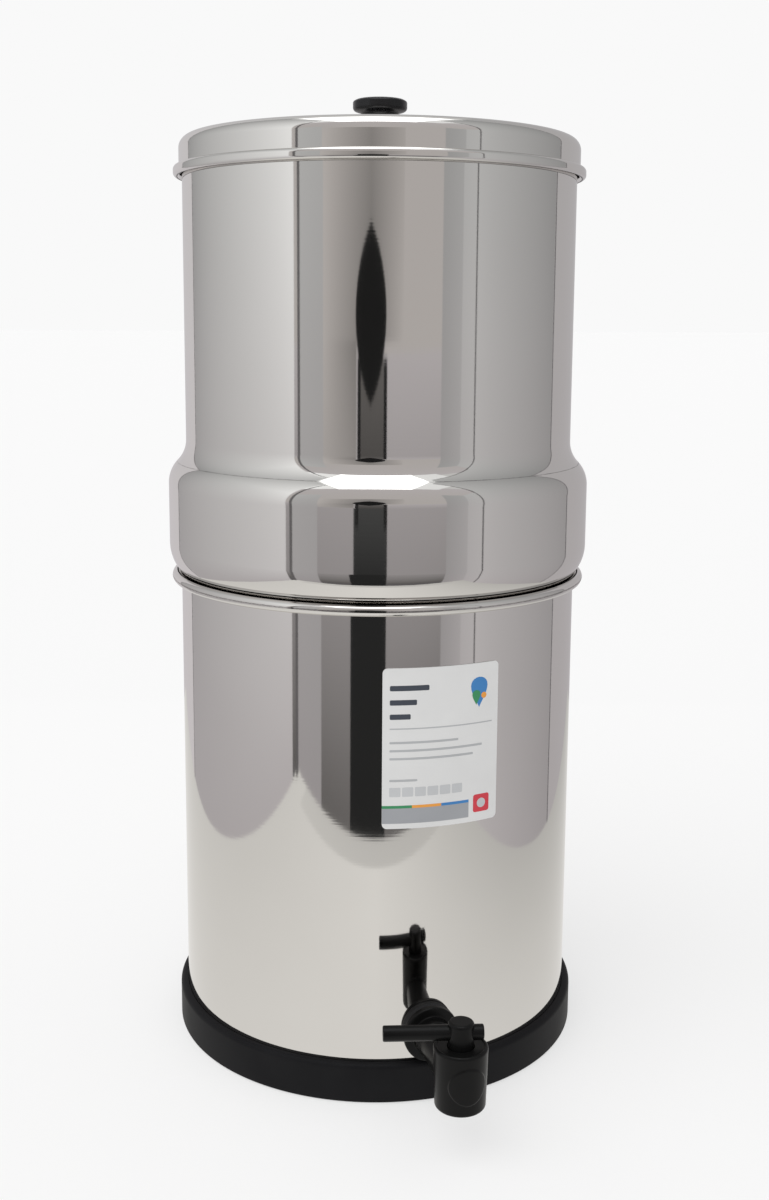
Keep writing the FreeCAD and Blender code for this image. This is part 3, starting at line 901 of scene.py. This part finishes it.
def card(name, corners, greys, low_tint, high_tint):
    """A flat card that only glossy rays see; its greys run low start, low end, high end, high start."""
    colours = [seen_as(g, t) for g, t in zip(greys, (low_tint, low_tint, high_tint, high_tint))]
    mesh = bpy.data.meshes.new(name)
    mesh.from_pydata([seen_from_camera(*c) for c in corners], [], [range(len(corners))])
    mesh.uv_layers.new()
    mesh.materials.append(blended_light(name, colours))
    obj = bpy.data.objects.new(name, mesh)
    bpy.context.scene.collection.objects.link(obj)
    obj.visible_camera = False
    obj.visible_diffuse = False
    obj.visible_shadow = False


def upright(start, end, low, high):
    return [(*start, low), (*end, low), (*end, high), (*start, high)]


def level(x0, x1, y0, y1, z):
    return [(x0, y0, z), (x1, y0, z), (x1, y1, z), (x0, y1, z)]


NEUTRAL = (0.98, 0.99, 1.0)
ROSY = (1.0, 0.95, 0.98)
WARM = (1.0, 0.95, 0.93)
CREAM = (1.0, 0.984, 0.957)


def side(name, x, start, end, low, high, greys, low_tint=ROSY):
    """A card of the tent's left or right side, from one y to another."""
    card(name, upright((x, start), (x, end), low, high), greys, low_tint, NEUTRAL)


def tent_sides():
    """Grey panels left and right with paler cloth behind them and thin dark seams."""
    left = -TENT_LEFT
    right = TENT_RIGHT
    top = TENT_TOP
    mid = PANEL_TOP
    back = TENT_BACK
    side("left_panel", left, SIDE_SPLIT_LEFT, LEFT_END, 0, mid, (158, 171, 226, 142))
    side("left_panel_top", left, SIDE_SPLIT_LEFT, LEFT_END, mid, top, (142, 226, 170, 150), NEUTRAL)
    side("right_panel", right, RIGHT_END, SIDE_SPLIT_RIGHT, 0, mid, (174, 149, 136, 174))
    side("right_panel_top", right, RIGHT_END, SIDE_SPLIT_RIGHT, mid, top, (174, 136, 140, 165), NEUTRAL)
    side("left_rear", left, back, SIDE_SPLIT_LEFT, 0, top, (178, 187, 187, 178))
    side("right_rear", right, SIDE_SPLIT_RIGHT, back, 0, top, (163, 158, 158, 163))
    for name, start, end, high, greys in (
        ("rear", (left, back), (right, back), top, (178, 158, 158, 178)),
        ("left_wing", (left, -FRONT), (-240, -FRONT), mid, (148, 146, 166, 172)),
        ("right_wing", (290, -FRONT), (CORNER_X, -FRONT), mid, (144, 160, 158, 150)),
        ("right_corner", (CORNER_X, -FRONT), (right, RIGHT_END), mid, (166, 172, 174, 170)),
        ("seam_1", (left + 6, -430), (left + 10, -446), top, (90, 90, 90, 90)),
        ("seam_2", (right + 6, -318), (right + 2, -304), top, (90, 90, 90, 90)),
        ("seam_3", (left + 1, 262), (left + 1, 272), top, (90, 90, 90, 90)),
        ("seam_4", (right - 1, 122), (right - 1, 130), top, (90, 90, 90, 90)),
    ):
        card(name, upright(start, end, 0, high), greys, ROSY, NEUTRAL)


def room_in_front():
    """The dim room past the tent's open front, with the dark shape of the camera and whoever holds it."""
    far = -ROOM
    near = far + 5
    for name, low, high, g_low, g_high in (
        ("room_low", -900, -150, 70, 88),
        ("room_mid", -150, 350, 88, 166),
        ("room_high", 350, TENT_TOP, 166, 172),
    ):
        wall = upright((-1300, far), (1300, far), low, high)
        card(name, wall, (g_low, g_low, g_high, g_high), WARM, ROSY)
    for name, start, end, low, high, greys in (
        ("shade_left", -420, -150, 225, SHADE_TOP, (158, 138, 118, 168)),
        ("shade_left_high", -420, HEAD_ACROSS, SHADE_TOP, PANEL_TOP, (168, 112, 128, 172)),
        ("shade_right", HEAD_ACROSS, 175, SHADE_TOP, PANEL_TOP, (112, 166, 158, 128)),
    ):
        card(name, upright((start, near), (end, near), low, high), greys, WARM, WARM)
    front = near + 5
    for name, start, end, low, high, g_low, g_high, tint in (
        ("figure_low", -180, 62, -900, 130, 30, 36, NEUTRAL),
        ("figure_waist", -150, 62, 130, WAIST, 36, 66, NEUTRAL),
        ("figure_legs", -135, 55, WAIST, HIP, 66, 92, WARM),
    ):
        shape = upright((start, front), (end, front), low, high)
        card(name, shape, (g_low, g_low, g_high, g_high), tint, tint)
    for number, left in enumerate((-140, 40), start=1):
        edge = upright((left, front + 2), (left + LEG_WIDTH, front + 2), LEG_FOOT, HIP)
        card("figure_leg_%d" % number, edge, (34, 34, 30, 30), NEUTRAL, NEUTRAL)
    spindle = []
    for k in range(FIGURE_STEPS):
        turn = 2 * math.pi * k / FIGURE_STEPS
        across = math.cos(turn) * abs(math.cos(turn)) ** HEAD_POINTEDNESS
        height = HEAD_HEIGHT + HEAD_HALF_HEIGHT * math.sin(turn)
        spindle.append((HEAD_ACROSS + HEAD_HALF_WIDTH * across, front + 4, height))
    card("figure_head", spindle, (26, 26, 26, 26), NEUTRAL, NEUTRAL)


def tent_floor_and_lights():
    """The tent's pale floor and the two lights overhead."""
    left = -TENT_LEFT - 5
    right = TENT_RIGHT + 60
    for name, x0, x1, y0, y1, z, greys, tint in (
        ("floor_left", left, 0, -FRONT, TENT_BACK, FLOOR_CARD_DEPTH, (196, 208, 205, 186), CREAM),
        ("floor_right", 0, right, -FRONT, TENT_BACK, FLOOR_CARD_DEPTH, (208, 172, 158, 205), CREAM),
        ("floor_edge", -330, 330, -FRONT, -FRONT + 55, FLOOR_EDGE_DEPTH, (188, 176, 178, 190), CREAM),
        ("softbox", -350, 310, -740, 60, SOFTBOX_HEIGHT, (330, 330, 330, 330), NEUTRAL),
        ("softbox_glow", -820, 620, -820, 150, GLOW_HEIGHT, (232, 215, 215, 232), NEUTRAL),
    ):
        card(name, level(x0, x1, y0, y1, z), greys, tint, tint)


def grey(value):
    return (value, value, value, 1)


def pale_floor():
    """A wide floor, partly glowing, so that it stays as bright as the background."""
    material, *_, shader = new_material("pale_floor")
    shader.inputs["Base Color"].default_value = grey(FLOOR_COLOUR)
    shader.inputs["Emission Color"].default_value = grey(FLOOR_GLOW)
    shader.inputs["Emission Strength"].default_value = 1.0
    shader.inputs["Roughness"].default_value = 0.9
    shader.inputs["Specular IOR Level"].default_value = 0.1
    mesh = bpy.data.meshes.new("floor")
    corners = level(-FLOOR_SIZE, FLOOR_SIZE, -FLOOR_SIZE, FLOOR_SIZE, 0)
    mesh.from_pydata(corners, [], [(0, 1, 2, 3)])
    mesh.materials.append(material)
    obj = bpy.data.objects.new("floor", mesh)
    bpy.context.scene.collection.objects.link(obj)
    obj.location.z = -FLOOR_DROP
    obj.visible_glossy = False


def world_light():
    """White light on everything, another grey in reflections, and a near white for the camera."""
    world = bpy.data.worlds.new("studio")
    bpy.context.scene.world = world
    world.use_nodes = True
    nodes = world.node_tree.nodes
    links = world.node_tree.links
    nodes.clear()
    kind = nodes.new("ShaderNodeLightPath")
    plain = nodes.new("ShaderNodeBackground")
    plain.inputs["Color"].default_value = grey(1)
    plain.inputs["Strength"].default_value = WORLD_STRENGTH
    shown = nodes.new("ShaderNodeBackground")
    shown.inputs["Color"].default_value = grey(WORLD_SHOWN)
    mirrored = nodes.new("ShaderNodeBackground")
    mirrored.inputs["Color"].default_value = grey(WORLD_MIRRORED)
    first = nodes.new("ShaderNodeMixShader")
    second = nodes.new("ShaderNodeMixShader")
    out = nodes.new("ShaderNodeOutputWorld")
    links.new(kind.outputs["Is Glossy Ray"], first.inputs[0])
    links.new(plain.outputs[0], first.inputs[1])
    links.new(mirrored.outputs[0], first.inputs[2])
    links.new(kind.outputs["Is Camera Ray"], second.inputs[0])
    links.new(first.outputs[0], second.inputs[1])
    links.new(shown.outputs[0], second.inputs[2])
    links.new(second.outputs[0], out.inputs["Surface"])


def soft_sun(place, strength):
    """A very soft sun, so that the floor is lit evenly out to the horizon; place is where it shines from."""
    data = bpy.data.lights.new("soft_sun", "SUN")
    data.angle = math.radians(SUN_DEGREES)
    data.energy = strength
    lamp = bpy.data.objects.new("soft_sun", data)
    bpy.context.scene.collection.objects.link(lamp)
    lamp.rotation_euler = (-seen_from_camera(*place)).to_track_quat("-Z", "Y").to_euler()
    lamp.visible_glossy = False


def camera():
    data = bpy.data.cameras.new("camera")
    data.sensor_fit = "VERTICAL"
    data.sensor_height = SENSOR_MM
    data.lens = FOCAL_PX / PHOTO_HEIGHT * data.sensor_height
    data.shift_y = (CENTRE_ROW_PX - PHOTO_HEIGHT / 2) / PHOTO_HEIGHT
    data.clip_start = NEAR_CLIP
    obj = bpy.data.objects.new("camera", data)
    bpy.context.scene.collection.objects.link(obj)
    turn = Matrix.Rotation(math.radians(-TAP_AZIMUTH), 4, "Z")
    tilt = Matrix.Rotation(math.radians(90 - CAMERA_PITCH), 4, "X")
    roll = Matrix.Rotation(math.radians(CAMERA_ROLL), 4, "Z")
    place = Matrix.Translation(seen_from_camera(CAMERA_RIGHT, -CAMERA_BACK, CAMERA_UP))
    obj.matrix_world = place @ turn @ tilt @ roll
    bpy.context.scene.camera = obj


tent_sides()
room_in_front()
tent_floor_and_lights()
pale_floor()
world_light()
soft_sun(SUN_FROM, SUN_STRENGTH)
camera()
bpy.context.scene.view_settings.view_transform = "Standard"
